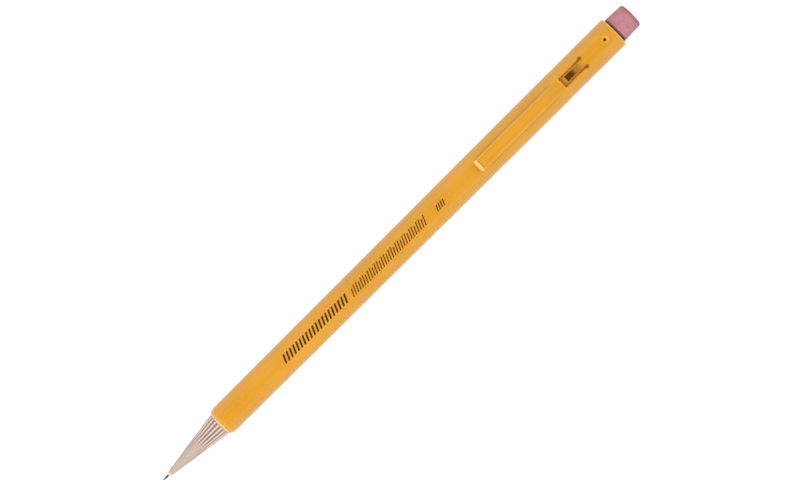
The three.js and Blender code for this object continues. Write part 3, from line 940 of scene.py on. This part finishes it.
def nose_outside():
    """The cone's outline, from near the tip to the shoulder, finest where the ribs rise."""
    n, spacing = NOSE, NOSE_SPACING
    slope = (n["radius"] - n["tip_radius"]) / (n["shoulder"] - n["tip"])
    stations = np.concatenate([
        np.arange(n["tip"] + spacing["start"], RIBS["start"], spacing["front"]),
        np.arange(RIBS["start"], RIBS["full"], spacing["rise"]),
        np.arange(RIBS["full"], n["shoulder"], spacing["ribs"]),
        [n["shoulder"] - spacing["end"]],
    ])
    return [(x, n["tip_radius"] + slope * (x - n["tip"])) for x in sorted(stations)]


def nose_hidden():
    """The hidden outline, from the skirt to the spigot and back through the bore to the tip's edge."""
    n, seat, edge = NOSE, RETAINER_SEAT, NOSE_TIP
    outline = [
        (n["shoulder"], n["skirt"]),
        (n["skirt_end"], n["skirt"]),
        (JOURNAL["start"], JOURNAL["radius"]),
    ]
    for groove in (SNAP_GROOVE, DRAG_GROOVE):
        outline += [
            (groove["start"], JOURNAL["radius"]),
            (groove["start"], groove["radius"]),
            (groove["end"], groove["radius"]),
            (groove["end"], JOURNAL["radius"]),
        ]
    return outline + [
        (JOURNAL["end"], JOURNAL["radius"]),
        (JOURNAL["end"], SPIGOT["radius"]),
        (SPIGOT["end"], SPIGOT["radius"]),
        (SPIGOT["end"], n["bore"]),
        (seat["end"], n["bore"]),
        (seat["end"], seat["radius"]),
        (seat["start"], seat["radius"]),
        (seat["funnel"], n["lead_bore"]),
        (n["tip"] + edge["bore_start"], n["lead_bore"]),
        (n["tip"], n["lead_bore"] + edge["bore_flare"]),
        (n["tip"], n["tip_radius"] - edge["face"]),
        (n["tip"] + edge["round"], n["tip_radius"] - edge["round"]),
    ]


def make_nose():
    """A cone whose ribs rise out of its smooth front, with its hidden journal and bore behind."""
    w = NOSE_WEAR_AND_HIGHLIGHT
    angles = evenly(RIBS["count"] * RIBS["steps"])
    valley = ((1 - np.cos(RIBS["count"] * angles)) / 2) ** RIBS["fullness"]
    crest = np.clip(1 - w["crest_falloff"] * valley, 0, 1)
    rings, wear_and_painted_highlight, grime = [], [], []
    for station, radius in nose_outside():
        full = float(ease(station, RIBS["start"], RIBS["full"]))
        rings.append(round_ring(station, radius - RIBS["depth"] * full * valley, angles))
        at_tip = float(1 - ease(station, NOSE["tip"] + w["tip_full"], NOSE["tip"] + w["tip_end"]))
        wear_and_painted_highlight.append(np.maximum(full * crest, at_tip))
        # Painted shade between the ribs.
        grime.append(full * valley**2)
    for station, radius in nose_hidden():
        rings.append(round_ring(station, radius, angles))
        wear_and_painted_highlight.append(np.zeros(len(angles)))
        grime.append(np.zeros(len(angles)))
    points, faces = skin(rings, along_closed=True)
    plastic = MATERIALS["nose_plastic"]
    marks = {"wear_and_painted_highlight": np.concatenate(wear_and_painted_highlight), "grime": np.concatenate(grime)}
    piece = make_piece("nose_shell", points, faces, plastic, "nose_plastic", sharp_degrees=50, **marks)
    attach(piece, "turning_nose")
    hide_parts("nose_cone")


def make_lead():
    """A round lead, with a short taper at its point that writing has blunted."""
    angles = evenly(SIDES["lead"])
    body = [(LEAD["taper_end"], LEAD["radius"]), (LEAD["length"], LEAD["radius"])]
    outline = LEAD_POINT + refined(body, PLAIN_SPACING)
    points, faces = skin([round_ring(station, radius, angles) for station, radius in outline])
    piece = make_piece("lead_stick", points, faces, MATERIALS["lead_graphite"], "lead_graphite")
    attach(piece, "lead_carriage")
    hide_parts("lead")


# ---------------------------------------------------------------- spring


def make_spring():
    """A round wire wound on a helix: the spring of the cushioned tip."""
    s = SPRING
    turns = np.linspace(0, 2 * math.pi * s["turns"], int(s["turns"] * s["steps_per_turn"]) + 1)
    around = evenly(SIDES["wire"])
    first = s["start"] + s["wire"]
    last = s["end"] - s["wire"]
    rings = []
    for turn in turns:
        centre = first + (last - first) * turn / turns[-1]
        radius = s["coil"] + s["wire"] * np.cos(around)
        stations = centre + s["wire"] * np.sin(around)
        rings.append(place(stations, radius * math.sin(turn), radius * math.cos(turn)))
    points, faces = skin(rings)
    piece = make_piece("cushion_coil", points, faces, MATERIALS["spring_steel"], "spring_steel")
    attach(piece, "barrel_body")
    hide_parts("cushion_spring")
    anchor = tuple(place(s["end"], 0.0, 0.0))
    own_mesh(piece)


# ---------------------------------------------------------------- printed marks


def shaft_radius(station):
    """The radius of the barrel's plain shaft, which widens evenly from the lip to the seam."""
    shaft_start = MOUTH + LIP["length"]
    share = (station - shaft_start) / (SEAM["at"] - SEAM["lead"] - shaft_start)
    return LIP["back"] + (TOP_RADIUS - LIP["back"]) * share


def stroke_mesh(start, width, low, high):
    """A thin slanted stroke of ink that follows the round of the barrel."""
    lift = np.array([INK_LIFT, INK_LIFT, -INK_LIFT, -INK_LIFT])
    rings = []
    for across in np.linspace(low, high, INK_STEPS):
        front = start + INK_SLANT * (across - low)
        back = front + width
        stations = np.array([front, back, back, front])
        radius = shaft_radius(stations) + lift
        angle = across / TOP_RADIUS
        rings.append(place(stations, radius * math.sin(angle), radius * math.cos(angle)))
    return skin(rings)


def make_print():
    """Plain slanted strokes in three groups, where the real one has its lettering."""
    points, faces = [], []
    for block in INK_BLOCKS:
        for k in range(int((block["end"] - block["start"]) / block["pitch"])):
            high = block["high"] if k % SHORT_EVERY else block["short"]
            start = block["start"] + k * block["pitch"]
            more_points, more_faces = stroke_mesh(start, block["stroke"], block["low"], high)
            offset = len(points)
            points += list(more_points)
            faces += [tuple(i + offset for i in face) for face in more_faces]
    piece = make_piece("printed_strokes", points, faces, print_ink(), "barrel_plastic")
    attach(piece, "barrel_body")


# ---------------------------------------------------------------- CAD nodes that stay

CARRIED_OVER = {
    "drive_tube": "nose_plastic",
    "drive_tube_cap": "nose_plastic",
    "lead_retainer": "soft_rubber",
    "drag_ring": "soft_rubber",
    "lead_socket": "inner_plastic",
    "carriage": "inner_plastic",
    "spiral_sleeve": "inner_plastic",
    "sleeve_end_cap": "inner_plastic",
}
SOFT_EDGE = {"width": 0.04, "segments": 2, "above_degrees": 40}


def dress_cad_nodes():
    """Gives the mechanism's CAD nodes their materials and slightly rounded edges."""
    for name, slot in CARRIED_OVER.items():
        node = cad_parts[name]
        node.data.materials.clear()
        node.data.materials.append(MATERIALS[slot])
        bevel = node.modifiers.new("soft_edges", "BEVEL")
        bevel.width = SOFT_EDGE["width"] * MM
        bevel.segments = SOFT_EDGE["segments"]
        bevel.limit_method = "ANGLE"
        bevel.angle_limit = math.radians(SOFT_EDGE["above_degrees"])


# ---------------------------------------------------------------- floor, light and camera


def make_floor():
    """A flat card at the height of the pencil's lowest point."""
    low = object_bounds()[0].z
    signs = [(-1, -1), (1, -1), (1, 1), (-1, 1)]
    mesh = bpy.data.meshes.new("floor")
    mesh.from_pydata([(x * FLOOR_HALF, y * FLOOR_HALF, low) for x, y in signs], [], [(0, 1, 2, 3)])
    mesh.materials.append(floor_card())
    floor = bpy.data.objects.new("floor", mesh)
    scene.collection.objects.link(floor)
    floor.visible_diffuse = False


def make_world():
    """A light tent: bright in a wide band above the horizon, and dimmer straight above and below it."""
    world = bpy.data.worlds.new("tent")
    scene.world = world
    world.use_nodes = True
    tree = world.node_tree
    coordinates = tree.nodes.new("ShaderNodeTexCoord")
    split = tree.nodes.new("ShaderNodeSeparateXYZ")
    feed(tree, coordinates.outputs["Generated"], split.inputs["Vector"])
    strength = SKY[0][1]
    for (low, low_strength), (high, high_strength) in zip(SKY, SKY[1:]):
        band = tree.nodes.new("ShaderNodeMapRange")
        feed(tree, split.outputs["Z"], band.inputs["Value"])
        band.inputs["From Min"].default_value = low
        band.inputs["From Max"].default_value = high
        band.inputs["To Max"].default_value = high_strength - low_strength
        total = tree.nodes.new("ShaderNodeMath")
        feed(tree, strength, total.inputs[0])
        feed(tree, band.outputs["Result"], total.inputs[1])
        strength = total.outputs["Value"]
    background = tree.nodes["Background"]
    feed(tree, strength, background.inputs["Strength"])
    feed(tree, WHITE, background.inputs["Color"])


def make_light(name, at, size, watts):
    """A square soft light that faces the middle of the pencil. The tent alone shows in reflections."""
    light = bpy.data.lights.new(name, "AREA")
    light.shape = "SQUARE"
    light.size = size
    light.energy = watts
    lamp = bpy.data.objects.new(name, light)
    lamp.location = at
    aim = -lamp.location
    lamp.rotation_mode = "QUATERNION"
    lamp.rotation_quaternion = aim.to_track_quat("-Z", "Y")
    lamp.visible_glossy = False
    scene.collection.objects.link(lamp)


def make_camera():
    """Straight above the pencil, rolled so that the pencil crosses the picture from corner to corner."""
    camera = bpy.data.cameras.new("camera")
    camera.lens = CAMERA["lens"]
    camera.sensor_width = CAMERA["sensor"]
    viewer = bpy.data.objects.new("camera", camera)
    viewer.location = (CAMERA["x"] * MM, CAMERA["y"] * MM, AXIS_Z + CAMERA["height"] * MM)
    viewer.rotation_euler = (0.0, 0.0, math.radians(CAMERA["roll_degrees"]))
    scene.collection.objects.link(viewer)
    scene.camera = viewer


# ---------------------------------------------------------------- the scene

make_barrel()
make_clip()
make_eraser()
make_nose()
make_lead()
make_spring()
make_print()
dress_cad_nodes()
make_floor()
make_world()
for lamp in LIGHTS:
    make_light(**lamp)
make_camera()
scene.view_settings.view_transform = "Standard"
